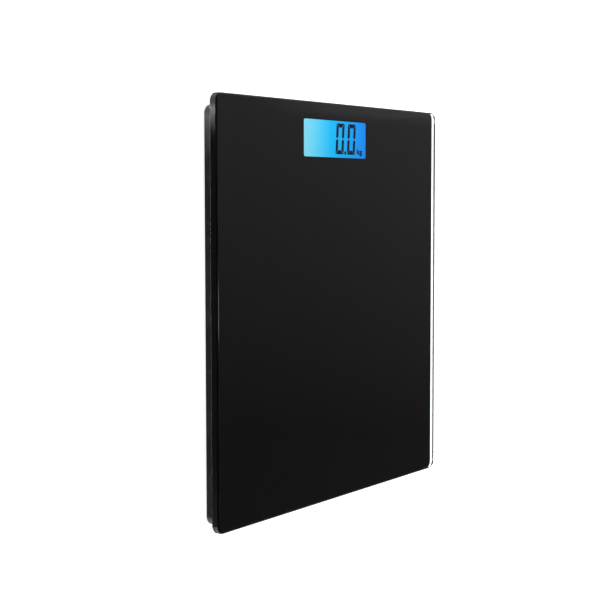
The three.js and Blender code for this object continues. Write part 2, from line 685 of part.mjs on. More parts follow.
function addDisplay() {
  const lower = block(-LCD_WIDTH / 2, LCD_WIDTH / 2, LCD_FRONT, LCD_BACK, LCD_BOTTOM, LCD_MIDDLE);
  const upper = block(-LCD_WIDTH / 2, LCD_WIDTH / 2, WINDOW_FRONT - 0.4, LCD_BACK, LCD_MIDDLE - 0.2, LCD_TOP);
  addPart('lcd_panel', geometryOf(joined(lower, upper)), MATERIALS.display);

  const guideLeft = FRAME_LEFT + 4;
  const guideRight = FRAME_RIGHT - FRAME_WALL - 0.6;
  const guideFront = LCD_FRONT + CLEAR;
  const guideBack = LCD_BACK - CLEAR;
  const guide = block(guideLeft, guideRight, guideFront, guideBack, GUIDE_BOTTOM, LCD_BOTTOM - 0.2);
  addPart('light_guide', guide, MATERIALS.lightGuide);

  const sheetBottom = FRAME_FLOOR + SLIT;
  const sheet = block(guideLeft, guideRight, guideFront, guideBack, sheetBottom, REFLECTOR_TOP);
  addPart('reflector_sheet', sheet, MATERIALS.white);

  const ledLeft = FRAME_LEFT + FRAME_WALL + 0.2;
  const ledBoard = block(
    ledLeft, ledLeft + 1, guideFront + 2.4, guideBack - 2.5, sheetBottom, LCD_BOTTOM - CLEAR,
  );
  const leds = LED_PLACES.map((y) => block(
    ledLeft + 0.8, ledLeft + 2.2, y - LED_HALF_LENGTH, y + LED_HALF_LENGTH, 9, 10.6,
  ));
  addPart('led_board', geometryOf(joined(ledBoard, ...leds)), MATERIALS.board);
}

// The tray that holds the display stack, with an ear for a screw on each side.
function addDisplayFrame() {
  const tray = block(FRAME_LEFT, FRAME_RIGHT, FRAME_FRONT, FRAME_BACK, FRAME_BOTTOM, FRAME_TOP);
  const frontEdge = LCD_FRONT - 0.2;
  const backEdge = LCD_BACK + 0.15;
  const stackLeft = FRAME_LEFT + FRAME_WALL;
  const stackRight = FRAME_RIGHT - FRAME_WALL;
  const stack = block(stackLeft, stackRight, frontEdge, backEdge, FRAME_FLOOR, TOTAL_HEIGHT);
  const slotReach = RIBBON_WIDTH / 2 + 1;
  const slot = block(-slotReach, slotReach, FRAME_FRONT - 1, frontEdge + 1, 11, TOTAL_HEIGHT);
  const ears = [];
  const holes = [];
  for (const x of [-FRAME_EAR_X, FRAME_EAR_X]) {
    const towards = x < 0 ? FRAME_LEFT + 0.8 : FRAME_RIGHT - 0.8;
    const tip = x + Math.sign(x) * 3.5;
    ears.push(block(
      Math.min(towards, tip), Math.max(towards, tip), FRAME_EAR_Y - 4, FRAME_EAR_Y + 4,
      FRAME_EAR_BOTTOM, FRAME_EAR_TOP,
    ));
    holes.push(upright(x, FRAME_EAR_Y, 0, TOTAL_HEIGHT, SCREW_HOLE, 8));
    const side = x < 0 ? 'left' : 'right';
    const seat = FRAME_EAR_TOP + SLIT;
    addPart(`display_screw_${side}`, screw(SHORT_SCREW), MATERIALS.steel, x, FRAME_EAR_Y, seat);
  }
  const frame = cutBy(joined(tray, ...ears), stack, slot, ...holes);
  addPart('display_frame', geometryOf(frame), MATERIALS.white);
}

// The flat ribbon from the display's contact ledge down to the circuit board.
function addRibbon() {
  const low = BOARD_TOP + SLIT;
  const high = LCD_MIDDLE + SLIT;
  const slopeFront = RIBBON_FRONT + 8;
  const slopeBack = slopeFront + 5;
  const end = WINDOW_FRONT - 0.8;
  const underside = [[RIBBON_FRONT, low], [slopeFront, low], [slopeBack, high], [end, high]];
  const topside = underside.map(([along, height]) => [along, height + RIBBON_THICK]).reverse();
  const profile = new THREE.Shape([...underside, ...topside].map(([y, z]) => new THREE.Vector2(y, z)));
  const ribbon = new THREE.ExtrudeGeometry(profile, { depth: RIBBON_WIDTH, bevelEnabled: false });
  // The profile is drawn in Y and Z, so its own X turns to Y and its own Y to Z.
  const turn = new THREE.Matrix4().makeBasis(
    new THREE.Vector3(0, 1, 0), new THREE.Vector3(0, 0, 1), new THREE.Vector3(1, 0, 0),
  );
  addPart('display_ribbon', ribbon.applyMatrix4(turn), MATERIALS.ribbon, -RIBBON_WIDTH / 2);
}

addGlass();
addFilm();
addTapes();
addCasing();
addFeet();
addLeads();
addBoard();
addButton();
addBattery();
addBatteryDoor();
addDisplay();
addDisplayFrame();
addRibbon();

export default scale;
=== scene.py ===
"""The looks of a square glass platform scale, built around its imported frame.

Metres, in the frame's own axes: +Z up, +Y to the display end, +X to the reader's right.
"""

import math

import bmesh
import bpy
from mathutils import Matrix, Vector


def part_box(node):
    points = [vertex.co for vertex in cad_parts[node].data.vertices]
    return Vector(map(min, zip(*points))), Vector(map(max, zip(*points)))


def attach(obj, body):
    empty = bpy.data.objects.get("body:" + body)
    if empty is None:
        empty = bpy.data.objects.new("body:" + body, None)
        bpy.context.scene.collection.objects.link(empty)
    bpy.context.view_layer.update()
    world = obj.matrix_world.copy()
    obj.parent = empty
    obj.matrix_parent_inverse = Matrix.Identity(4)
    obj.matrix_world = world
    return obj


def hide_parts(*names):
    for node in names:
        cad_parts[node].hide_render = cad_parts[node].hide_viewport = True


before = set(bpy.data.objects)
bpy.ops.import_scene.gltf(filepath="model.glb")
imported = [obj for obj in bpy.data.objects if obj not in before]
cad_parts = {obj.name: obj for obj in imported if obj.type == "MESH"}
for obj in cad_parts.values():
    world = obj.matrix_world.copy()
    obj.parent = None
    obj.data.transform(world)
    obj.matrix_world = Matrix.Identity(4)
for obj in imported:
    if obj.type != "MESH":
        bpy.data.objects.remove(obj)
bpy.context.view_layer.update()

# ---------------------------------------------------------------- measures

MM = 0.001
PLATFORM = "platform"
CORNERS = ("front_left", "front_right", "back_left", "back_right")

glass_low, glass_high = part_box("glass_platform")
film_low, film_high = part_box("backing_film")
lcd_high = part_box("lcd_panel")[1]

SIDE = glass_high.x - glass_low.x

CAMERA_YAW = math.radians(55.7285)
CAMERA_PITCH = math.radians(4.1173)
CAMERA_ROLL = math.radians(-0.0713)
CAMERA_LENS = 83.947  # focal length in mm, on a sensor 36 mm wide
CAMERA_PLACE = (-2.51235, 0.76469, 1.94758)  # from the glass's front left corner, in sides of the glass

GLASS_CORNER = 5.6 * MM
UPPER_CHAMFER = 1.1 * MM
LOWER_CHAMFER = 0.8 * MM
PRINT_CORNER = 4.6 * MM
WINDOW_LEFT = -39.7 * MM
WINDOW_RIGHT = 40.0 * MM
WINDOW_FRONT = 102.4 * MM
WINDOW_BACK = 128.1 * MM
WINDOW_CORNER = 1.6 * MM
COAT_SHIFT = 3.8 * MM  # how far left of the window the coating on top of the glass lies

DIGIT_LEFTS = (0.3 * MM, 15.2 * MM)
DIGIT_FOOT = 104.8 * MM
DIGIT_WIDTH = 10.4 * MM
DIGIT_HEIGHT = 21.7 * MM
DIGIT_STROKE = 2.9 * MM
DIGIT_LEAN = math.tan(math.radians(4))
POINT_LEFT = 11.7 * MM
POINT_RIGHT = 14.2 * MM
POINT_HEIGHT = 2.2 * MM
POINT_LEAN = 0.15 * MM
UNIT_PLACE = (28.4 * MM, 105.4 * MM)
UNIT_SIZE = 6.6 * MM
INK_BOTTOM = lcd_high.z + 0.02 * MM
INK_THICK = 0.05 * MM

FOOT_WALL_TOP = 7.4 * MM
FOOT_WALL = 1.5 * MM
FOOT_FLOOR_TOP = 4 * MM
FOOT_BOSS = 4 * MM  # radius of the boss under the load cell
FOOT_CENTRE = 0.05 * MM  # radius of the small flat face that closes a turned shape
TREAD_GROOVES = ((3.6 * MM, 4.4 * MM), (6.9 * MM, 7.7 * MM), (10.6 * MM, 12.4 * MM), (14.8 * MM, 15.5 * MM))
TREAD_DEPTH = 0.55 * MM
TREAD_LIP = 0.12 * MM

CORNER_STEPS = 14  # faces round each corner of the glass, its print and its window
TURN_STEPS = 96  # faces round a foot


# ---------------------------------------------------------------- camera and stage


def make_camera():
    """A long lens that looks down across the scale, turned so that the display end is up."""
    level = math.cos(CAMERA_PITCH)
    right = Vector((math.cos(CAMERA_YAW), 0, math.sin(CAMERA_YAW)))
    ahead = Vector((math.sin(CAMERA_YAW) * level, -math.sin(CAMERA_PITCH), -math.cos(CAMERA_YAW) * level))
    up = right.cross(ahead)
    turn = Matrix((right, up, -ahead)).transposed()
    data = bpy.data.cameras.new("camera")
    data.lens = CAMERA_LENS
    data.sensor_width = 36
    data.sensor_fit = "HORIZONTAL"
    data.clip_start = 0.01
    data.clip_end = 60
    camera = bpy.data.objects.new("camera", data)
    place = Vector(CAMERA_PLACE) * SIDE
    place += Vector((glass_low.x, glass_low.y, glass_high.z))
    camera.matrix_world = Matrix.Translation(place) @ turn.to_4x4() @ Matrix.Rotation(CAMERA_ROLL, 4, "Z")
    bpy.context.scene.collection.objects.link(camera)
    bpy.context.scene.camera = camera


def add_node(tree, kind, inputs=None, **settings):
    """A shader node, with its inputs set to values or linked from sockets."""
    node = tree.nodes.new(kind)
    for name, value in settings.items():
        setattr(node, name, value)
    for name, value in (inputs or {}).items():
        if isinstance(value, bpy.types.NodeSocket):
            tree.links.new(value, node.inputs[name])
        else:
            node.inputs[name].default_value = value
    return node


def ramp(tree, value, low, high, start, end, smooth=True):
    """value, from low to high, turned into a number from start to end."""
    settings = {"interpolation_type": "SMOOTHSTEP"} if smooth else {}
    node = add_node(
        tree,
        "ShaderNodeMapRange",
        {"Value": value, "From Min": low, "From Max": high, "To Min": start, "To Max": end},
        **settings,
    )
    return node.outputs["Result"]


def maths(tree, operation, a, b):
    """One sum on two numbers or sockets."""
    return add_node(tree, "ShaderNodeMath", {0: a, 1: b}, operation=operation).outputs[0]


def blend_numbers(tree, factor, a, b):
    """A number from a to b."""
    inputs = {"Factor": factor, "A": a, "B": b}
    return add_node(tree, "ShaderNodeMix", inputs, data_type="FLOAT").outputs["Result"]


def light_from_above(tree, x, y, z):
    """Dim, a little brighter to the back and darker on the left, with a glow behind and a strip overhead."""
    above = ramp(tree, y, -0.16, 0.08, 0.08, 0.27, smooth=False)
    above = maths(tree, "MULTIPLY", above, ramp(tree, x, -0.45, -0.25, 0.15, 1))
    behind = ramp(tree, maths(tree, "DIVIDE", y, z), 0.098, 0.121, 0, 0.16)
    behind = maths(tree, "MULTIPLY", behind, ramp(tree, z, 0.54, 0.6, 1, 0))
    above = maths(tree, "ADD", above, behind)
    off_strip = maths(tree, "ABSOLUTE", maths(tree, "ADD", y, 0.077), 0)
    strip = ramp(tree, off_strip, 0.03, 0.01, 0.4, 4)
    strip = maths(tree, "MULTIPLY", strip, ramp(tree, z, 0.84, 0.96, 0, 1))
    return maths(tree, "ADD", above, strip)


def light_from_below(tree, x, y):
    """What polished edges mirror: a bright card behind and a softer one in front, both to the left."""
    card = ramp(tree, y, 0.041, 0.0625, 0, 1, smooth=False)
    card = maths(tree, "MULTIPLY", card, card)
    card = maths(tree, "MULTIPLY", card, ramp(tree, y, 0.0625, 0.067, 4.2, 1.3))
    below = maths(tree, "ADD", card, ramp(tree, y, -0.17, -0.45, 0.08, 1.6))
    return maths(tree, "MULTIPLY", below, ramp(tree, x, 0.2, 0.35, 1, 0.2))


def make_world():
    """A dim studio for gloss and soft light, and plain white for what the camera sees beyond the floor."""
    world = bpy.data.worlds.new("studio")
    bpy.context.scene.world = world
    world.use_nodes = True
    tree = world.node_tree
    tree.nodes.clear()
    direction = add_node(tree, "ShaderNodeTexCoord").outputs["Generated"]
    parts = add_node(tree, "ShaderNodeSeparateXYZ", {0: direction})
    x, y, z = parts.outputs
    height = ramp(tree, z, -0.04, 0.04, 0, 1)
    level = blend_numbers(tree, height, light_from_below(tree, x, y), light_from_above(tree, x, y, z))
    path = add_node(tree, "ShaderNodeLightPath")
    depth = maths(tree, "SUBTRACT", 1.0, height)
    through = maths(tree, "MULTIPLY", path.outputs["Is Transmission Ray"], depth)
    seen = maths(tree, "MAXIMUM", path.outputs["Is Camera Ray"], through)
    strength = blend_numbers(tree, seen, level, 1.0)
    shader = add_node(tree, "ShaderNodeBackground", {"Color": (1, 1, 1, 1), "Strength": strength})
    output = add_node(tree, "ShaderNodeOutputWorld")
    tree.links.new(shader.outputs[0], output.inputs["Surface"])


def make_floor():
    """A white floor that glows enough to stay white, with a faint shadow, and is clear from below."""
    reach = 12
    mesh = bpy.data.meshes.new("floor")
    corners = [(-reach, -reach, 0), (reach, -reach, 0), (reach, reach, 0), (-reach, reach, 0)]
    mesh.from_pydata(corners, [], [(0, 1, 2, 3)])
    floor = bpy.data.objects.new("floor", mesh)
    bpy.context.scene.collection.objects.link(floor)
    material = bpy.data.materials.new("floor")
    material.use_nodes = True
    tree = material.node_tree
    tree.nodes.clear()
    glow = add_node(tree, "ShaderNodeEmission", {"Color": (1, 1, 1, 1), "Strength": 0.86})
    paint = add_node(tree, "ShaderNodeBsdfDiffuse", {"Color": (0.8, 0.8, 0.8, 1)})
    both = add_node(tree, "ShaderNodeAddShader", {0: glow.outputs[0], 1: paint.outputs[0]})
    back = add_node(tree, "ShaderNodeNewGeometry").outputs["Backfacing"]
    clear = add_node(tree, "ShaderNodeBsdfTransparent")
    sides = add_node(tree, "ShaderNodeMixShader", {0: back, 1: both.outputs[0], 2: clear.outputs[0]})
    output = add_node(tree, "ShaderNodeOutputMaterial")
    tree.links.new(sides.outputs[0], output.inputs["Surface"])
    mesh.materials.append(material)
    floor.visible_glossy = False


def make_lights():
    """One large soft lamp overhead and a weaker one from the left, neither seen in reflections."""
    for name, place, size, power in (
        ("lamp_top", (0.1, 0.15, 1.1), 1.0, 9),
        ("lamp_left", (-1.1, -0.3, 0.7), 0.8, 4),
    ):
        data = bpy.data.lights.new(name, "AREA")
        data.size = size
        data.energy = power
        lamp = bpy.data.objects.new(name, data)
        lamp.location = place
        lamp.rotation_euler = (-Vector(place)).to_track_quat("-Z", "Y").to_euler()
        lamp.visible_glossy = False
        bpy.context.scene.collection.objects.link(lamp)


bpy.context.scene.view_settings.view_transform = "Standard"
make_camera()
make_world()
make_floor()
make_lights()


# ---------------------------------------------------------------- materials


def new_material(name):
    """A material with one general shader, and the object's own coordinates."""
    material = bpy.data.materials.new(name)
    material.use_nodes = True
    tree = material.node_tree
    tree.nodes.clear()
    shader = add_node(tree, "ShaderNodeBsdfPrincipled")
    output = add_node(tree, "ShaderNodeOutputMaterial")
    tree.links.new(shader.outputs[0], output.inputs["Surface"])
    place = add_node(tree, "ShaderNodeTexCoord").outputs["Object"]
    return material, tree, shader, place


def noise(tree, place, size, detail=2.0):
    """Soft noise whose blotches are about this many metres across."""
    return add_node(
        tree, "ShaderNodeTexNoise", {"Vector": place, "Scale": 1 / size, "Detail": detail}
    ).outputs["Fac"]


def blend_colours(tree, factor, a, b):
    """A colour from a to b."""
    inputs = {"Factor": factor, "A": (*a, 1), "B": (*b, 1)}
    return add_node(tree, "ShaderNodeMix", inputs, data_type="RGBA").outputs["Result"]


def set_bump(tree, shader, height, depth):
    """Bends the shader's normal as if the surface rose by up to depth."""
    bump = add_node(tree, "ShaderNodeBump", {"Height": height, "Distance": depth, "Strength": 1.0})
    tree.links.new(bump.outputs[0], shader.inputs["Normal"])


def surface(name, colour, other, rough, rough_to, blotch, grain=None, grain_depth=0.0, gloss=0.5):
    """A general surface: two close colours and two roughnesses in soft blotches, over a fine grain."""
    material, tree, shader, place = new_material(name)
    soft = noise(tree, place, blotch)
    spread = ramp(tree, soft, 0.35, 0.65, 0, 1)
    colours = blend_colours(tree, spread, colour, other)
    tree.links.new(colours, shader.inputs["Base Color"])
    tree.links.new(ramp(tree, soft, 0.3, 0.7, rough, rough_to), shader.inputs["Roughness"])
    shader.inputs["Specular IOR Level"].default_value = gloss
    if grain:
        set_bump(tree, shader, noise(tree, place, grain, 3.0), grain_depth)
    return material


def clear_glass(name):
    """Polished low-iron glass, with the faintest haze of handling in its gloss."""
    material, tree, shader, place = new_material(name)
    smears = noise(tree, place, 24 * MM, 4.0)
    tree.links.new(ramp(tree, smears, 0.45, 0.75, 0.0, 0.009), shader.inputs["Roughness"])
    tint = blend_colours(tree, noise(tree, place, 90 * MM), (0.955, 0.985, 0.995), (0.965, 0.99, 0.99))
    tree.links.new(tint, shader.inputs["Base Color"])
    shader.inputs["Transmission Weight"].default_value = 1.0
    shader.inputs["IOR"].default_value = 1.5
    return material


def coated_glass():
    """The same glass under a coating against reflections."""
    material = clear_glass("coated_glass")
    shader = material.node_tree.nodes["Principled BSDF"]
    shader.inputs["Specular IOR Level"].default_value = 0.0
    shader.inputs["Specular Tint"].default_value = (0, 0, 0, 1)
    return material


def black_print():
    """The black film as it shows through the glass: deep, even and without gloss of its own."""
    material, tree, shader, place = new_material("black_print")
    blotches = noise(tree, place, 60 * MM)
    tone = blend_colours(tree, blotches, (0.0026, 0.0026, 0.0027), (0.0036, 0.0036, 0.0036))
    tree.links.new(tone, shader.inputs["Base Color"])
    tree.links.new(ramp(tree, noise(tree, place, 4 * MM), 0, 1, 0.5, 0.7), shader.inputs["Roughness"])
    shader.inputs["Specular IOR Level"].default_value = 0.0
    return material


def lit_display():
    """The backlight behind the liquid crystal: pale cyan by the lamps, azure at the far end."""
    material, tree, shader, place = new_material("lit_display")
    parts = add_node(tree, "ShaderNodeSeparateXYZ", {0: place})
    along = ramp(tree, parts.outputs["X"], WINDOW_LEFT, WINDOW_RIGHT, 0, 1, smooth=False)
    glow = add_node(tree, "ShaderNodeValToRGB", {"Fac": along})
    stops = (
        (0.0, (0.25, 0.74, 0.91)),
        (0.12, (0.18, 0.715, 0.965)),
        (0.24, (0.097, 0.65, 0.99)),
        (0.42, (0.006, 0.535, 1.0)),
        (0.68, (0.0, 0.40, 0.955)),
        (0.86, (0.0, 0.325, 0.955)),
        (1.0, (0.0, 0.25, 0.90)),
    )
    points = glow.color_ramp.elements
    points[0].position = stops[0][0]
    points[0].color = (*stops[0][1], 1)
    points[1].position = stops[-1][0]
    points[1].color = (*stops[-1][1], 1)
    for position, colour in stops[1:-1]:
        points.new(position).color = (*colour, 1)
    fall = ramp(tree, parts.outputs["Y"], WINDOW_FRONT, WINDOW_BACK, 0.95, 1.04, smooth=False)
    mottled = maths(tree, "MULTIPLY", fall, ramp(tree, noise(tree, place, 6 * MM), 0, 1, 0.985, 1.015))
    scaled = add_node(tree, "ShaderNodeVectorMath", {0: glow.outputs["Color"]}, operation="SCALE")
    tree.links.new(mottled, scaled.inputs["Scale"])
    tree.links.new(scaled.outputs[0], shader.inputs["Emission Color"])
    shader.inputs["Emission Strength"].default_value = 1.0
    tint = add_node(tree, "ShaderNodeVectorMath", {0: scaled.outputs[0], "Scale": 0.02}, operation="SCALE")
    tree.links.new(tint.outputs[0], shader.inputs["Base Color"])
    shader.inputs["Specular IOR Level"].default_value = 0.0
    tree.links.new(ramp(tree, noise(tree, place, 3 * MM), 0, 1, 0.12, 0.2), shader.inputs["Roughness"])
    return material


def brushed_metal(name, colour, other, rough):
    """Rolled metal, with fine lines along Y and a soft variation of tone."""
    material, tree, shader, place = new_material(name)
    stretched = add_node(tree, "ShaderNodeMapping", {"Vector": place, "Scale": (6000, 160, 6000)})
    lines = add_node(
        tree, "ShaderNodeTexNoise", {"Vector": stretched.outputs[0], "Scale": 1.0, "Detail": 3.0}
    ).outputs["Fac"]
    tree.links.new(blend_colours(tree, lines, colour, other), shader.inputs["Base Color"])
    tree.links.new(ramp(tree, lines, 0.3, 0.7, rough, rough + 0.16), shader.inputs["Roughness"])
    shader.inputs["Metallic"].default_value = 1.0
    set_bump(tree, shader, lines, 0.01 * MM)
    return material


def circuit_green():
    """Solder mask over copper: green, a little lighter where a track runs beneath."""
    material, tree, shader, place = new_material("circuit_green")
    cells = add_node(
        tree,
        "ShaderNodeTexBrick",
        {"Vector": place, "Scale": 130.0, "Mortar Size": 0.055, "Mortar Smooth": 0.2, "Brick Width": 0.9},
    )
    cells.inputs["Color1"].default_value = (0.012, 0.085, 0.035, 1)
    cells.inputs["Color2"].default_value = (0.015, 0.10, 0.04, 1)
    cells.inputs["Mortar"].default_value = (0.045, 0.22, 0.08, 1)
    tree.links.new(cells.outputs["Color"], shader.inputs["Base Color"])
    tree.links.new(ramp(tree, noise(tree, place, 5 * MM), 0, 1, 0.22, 0.4), shader.inputs["Roughness"])
    set_bump(tree, shader, cells.outputs["Fac"], 0.04 * MM)
    return material


GLASS = clear_glass("polished_glass")
COATED = coated_glass()
PRINT = black_print()
DISPLAY = lit_display()
INK = surface("crystal_black", (0.001, 0.003, 0.012), (0.002, 0.006, 0.020), 0.5, 0.6, 3 * MM, gloss=0.0)
FILM = surface(
    "backing_film", (0.006, 0.006, 0.006), (0.010, 0.010, 0.011), 0.35, 0.5, 8 * MM,
    grain=0.3 * MM, grain_depth=0.004 * MM,
)
CASING = surface(
    "casing_plastic", (0.0125, 0.0125, 0.013), (0.018, 0.018, 0.0185), 0.07, 0.11, 18 * MM,
    grain=0.5 * MM, grain_depth=0.001 * MM,
)
SATIN = surface(
    "satin_plastic", (0.016, 0.016, 0.0165), (0.024, 0.024, 0.025), 0.38, 0.5, 9 * MM,
    grain=0.25 * MM, grain_depth=0.02 * MM,
)
RUBBER = surface(
    "foot_rubber", (0.013, 0.013, 0.013), (0.026, 0.026, 0.025), 0.72, 0.9, 5 * MM,
    grain=0.35 * MM, grain_depth=0.05 * MM,
)
FOAM = surface(
    "foam_tape", (0.60, 0.60, 0.57), (0.72, 0.72, 0.69), 0.85, 0.95, 3 * MM,
    grain=0.5 * MM, grain_depth=0.12 * MM,
)
WHITE = surface(
    "white_plastic", (0.62, 0.62, 0.59), (0.70, 0.70, 0.67), 0.38, 0.5, 10 * MM,
    grain=0.3 * MM, grain_depth=0.012 * MM,
)
ACRYLIC = surface("light_guide_acrylic", (0.42, 0.78, 0.92), (0.55, 0.86, 0.95), 0.08, 0.2, 8 * MM)
EPOXY = surface(
    "black_epoxy", (0.006, 0.006, 0.006), (0.014, 0.014, 0.014), 0.16, 0.34, 2 * MM,
    grain=0.4 * MM, grain_depth=0.02 * MM,
)
AMBER = surface("polyimide_ribbon", (0.42, 0.17, 0.025), (0.56, 0.26, 0.05), 0.22, 0.34, 4 * MM)
RED_LEAD = surface("red_insulation", (0.42, 0.022, 0.016), (0.52, 0.035, 0.025), 0.36, 0.5, 6 * MM)
BLACK_LEAD = surface("black_insulation", (0.012, 0.012, 0.012), (0.022, 0.022, 0.022), 0.36, 0.5, 6 * MM)
STEEL = brushed_metal("plated_steel", (0.46, 0.47, 0.48), (0.62, 0.63, 0.64), 0.26)
BRIGHT_STEEL = brushed_metal("zinc_screws", (0.55, 0.55, 0.53), (0.70, 0.70, 0.67), 0.2)
BRASS = brushed_metal("spring_brass", (0.62, 0.42, 0.16), (0.78, 0.56, 0.25), 0.22)
GREEN = circuit_green()


# ---------------------------------------------------------------- mesh helpers


def rounded_loop(low_x, high_x, low_y, high_y, radius, z):
    """Points round a rectangle with round corners, the same number for any size."""
    points = []
    centres = (
        (high_x - radius, low_y + radius, -90),
        (high_x - radius, high_y - radius, 0),
        (low_x + radius, high_y - radius, 90),
        (low_x + radius, low_y + radius, 180),
    )
    for x, y, start in centres:
        for step in range(CORNER_STEPS + 1):
            angle = math.radians(start + 90 * step / CORNER_STEPS)
            points.append((x + radius * math.cos(angle), y + radius * math.sin(angle), z))
    return points


def inset_loop(low, high, inset, radius, z):
    """rounded_loop() for a box's outline, pulled in on every side."""
    return rounded_loop(
        low.x + inset, high.x - inset, low.y + inset, high.y - inset, max(radius - inset, 0.2 * MM), z
    )


def add_rings(bm, loops):
    """The corners of some loops of points, in the mesh."""
    return [[bm.verts.new(point) for point in loop] for loop in loops]


def bridge(bm, rings, slot=0):
    """Quads from each ring to the next."""
    for lower, upper in zip(rings, rings[1:]):
        count = len(lower)
        for i in range(count):
            j = (i + 1) % count
            face = bm.faces.new((lower[i], lower[j], upper[j], upper[i]))
            face.material_index = slot


def turned_rings(profile, x, y):
    """Rings of points for a turned shape about an upright line: the profile lists (radius, height)."""
    loops = []
    for radius, z in profile:
        loop = []
        for step in range(TURN_STEPS):
            angle = 2 * math.pi * step / TURN_STEPS
            loop.append((x + radius * math.cos(angle), y + radius * math.sin(angle), z))
        loops.append(loop)
    return loops


def cap(bm, ring, up, slot=0):
    """One flat face that closes a ring, seen from above or from below."""
    face = bm.faces.new(ring if up else ring[::-1])
    face.material_index = slot


def finish_piece(name, bm, materials, body, replaced=(), smooth_angle=32):
    """Turns a bmesh into a piece that rides on a body."""
    bmesh.ops.recalc_face_normals(bm, faces=bm.faces)
    mesh = bpy.data.meshes.new(name)
    bm.to_mesh(mesh)
    bm.free()
    for material in materials:
        mesh.materials.append(material)
    piece = bpy.data.objects.new(name, mesh)
    bpy.context.scene.collection.objects.link(piece)
    shade(piece, smooth_angle)
    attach(piece, body)
    if replaced:
        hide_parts(*replaced)


def apply_modifiers(piece):
    """Bakes a piece's modifiers into its mesh."""
    evaluated = piece.evaluated_get(bpy.context.evaluated_depsgraph_get())
    mesh = bpy.data.meshes.new_from_object(evaluated)
    piece.modifiers.clear()
    piece.data = mesh


def shade(piece, angle):
    """Smooth shading that keeps large faces flat, with a crease where faces meet more sharply than angle."""
    for polygon in piece.data.polygons:
        polygon.use_smooth = True
    piece.data.set_sharp_from_angle(angle=math.radians(angle))
    weighted = piece.modifiers.new("flat_faces", "WEIGHTED_NORMAL")
    weighted.mode = "FACE_AREA"
    weighted.weight = 100
    weighted.keep_sharp = True
    apply_modifiers(piece)


def refined_copy(name, node, width, body, material):
    """A copy of a CAD node's shape with its flat facets joined and its edges rounded."""
    bm = bmesh.new()
    bm.from_mesh(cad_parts[node].data)
    bmesh.ops.remove_doubles(bm, verts=bm.verts, dist=0.002 * MM)
    bmesh.ops.dissolve_limit(bm, angle_limit=math.radians(1), verts=bm.verts, edges=bm.edges)
    for face in bm.faces:
        face.material_index = 0
    mesh = bpy.data.meshes.new(name)
    bm.to_mesh(mesh)
    bm.free()
    mesh.materials.clear()
    mesh.materials.append(material)
    piece = bpy.data.objects.new(name, mesh)
    bpy.context.scene.collection.objects.link(piece)
    bevel = piece.modifiers.new("edges", "BEVEL")
    bevel.width = width
    bevel.segments = 2
    bevel.limit_method = "ANGLE"
    bevel.angle_limit = math.radians(35)
    bevel.use_clamp_overlap = True
    apply_modifiers(piece)
    shade(piece, 40)
    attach(piece, body)
    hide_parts(node)


# ---------------------------------------------------------------- the glass


def chamfer_profile(chamfer):
    """A chamfer with softly rounded rims, as (inset, distance from the face), from the face to the side."""
    soft = 0.18 * MM
    return [
        (chamfer + soft, 0),
        (chamfer, soft * 0.15),
        (chamfer - soft, soft * 0.75),
        (soft * 0.75, chamfer - soft),
        (soft * 0.15, chamfer),
        (0, chamfer + soft),
    ]


def make_glass():
    """The glass slab with polished, chamfered edges. Its underside is printed black but for the
    display's window and a clear strip along the left and right edges, and its display is coated
    against reflections on both faces."""
    low, high = glass_low.z, glass_high.z
    print_loop = rounded_loop(film_low.x, film_high.x, film_low.y, film_high.y, PRINT_CORNER, low)
    window_loop = rounded_loop(WINDOW_LEFT, WINDOW_RIGHT, WINDOW_FRONT, WINDOW_BACK, WINDOW_CORNER, low)
    coated_loop = [(x - COAT_SHIFT, y, high) for x, y, z in window_loop]
    lower_edge = [
        inset_loop(glass_low, glass_high, inset, GLASS_CORNER, low + rise)
        for inset, rise in chamfer_profile(LOWER_CHAMFER)
    ]
    upper_edge = [
        inset_loop(glass_low, glass_high, inset, GLASS_CORNER, high - drop)
        for inset, drop in reversed(chamfer_profile(UPPER_CHAMFER))
    ]
    bm = bmesh.new()
    window, printed = add_rings(bm, [window_loop, print_loop])
    outline = add_rings(bm, lower_edge + upper_edge)
    coated = add_rings(bm, [coated_loop])[0]
    cap(bm, window, up=False, slot=2)
    bridge(bm, [window, printed], slot=1)
    bridge(bm, [printed, outline[0]])
    bridge(bm, outline)
    bridge(bm, [outline[-1], coated])
    cap(bm, coated, up=True, slot=2)
    finish_piece("glass_top", bm, [GLASS, PRINT, COATED], PLATFORM, ["glass_platform"])


make_glass()


# ---------------------------------------------------------------- the display's digits


def slanted(x, y, foot):
    """A point of a digit, leaned to the right by its height above the digit's foot."""
    return x + (y - foot) * DIGIT_LEAN, y


def add_prism(bm, outline, bottom, top):
    """A thin upright prism over a flat outline."""
    lower, upper = add_rings(bm, [[(x, y, bottom) for x, y in outline], [(x, y, top) for x, y in outline]])
    bridge(bm, [lower, upper])
    cap(bm, lower, up=False)
    cap(bm, upper, up=True)


def segment_outlines(left, foot, width, height, stroke):
    """The six lit segments of a 0, mitred at their ends with a hairline between them."""
    gap = 0.32 * MM
    right, top, middle = left + width, foot + height, foot + height / 2
    half = stroke / 2
    level = [
        (left + gap, foot), (right - gap, foot), (right - stroke - gap * 0.4, foot + stroke),
        (left + stroke + gap * 0.4, foot + stroke),
    ]
    side = [
        (left, foot + gap), (left + stroke, foot + stroke + gap * 0.6),
        (left + stroke, middle - half * 0.6 - gap), (left + half, middle - gap * 0.6),
        (left, middle - gap - half * 0.5),
    ]
    outlines = []
    for flip_x in (False, True):
        for flip_y in (False, True):
            outlines.append([
                (left + right - x if flip_x else x, foot + top - y if flip_y else y) for x, y in side
            ])
    for flip_y in (False, True):
        outlines.append([(x, foot + top - y if flip_y else y) for x, y in level])
    return [[slanted(x, y, foot) for x, y in outline] for outline in outlines]


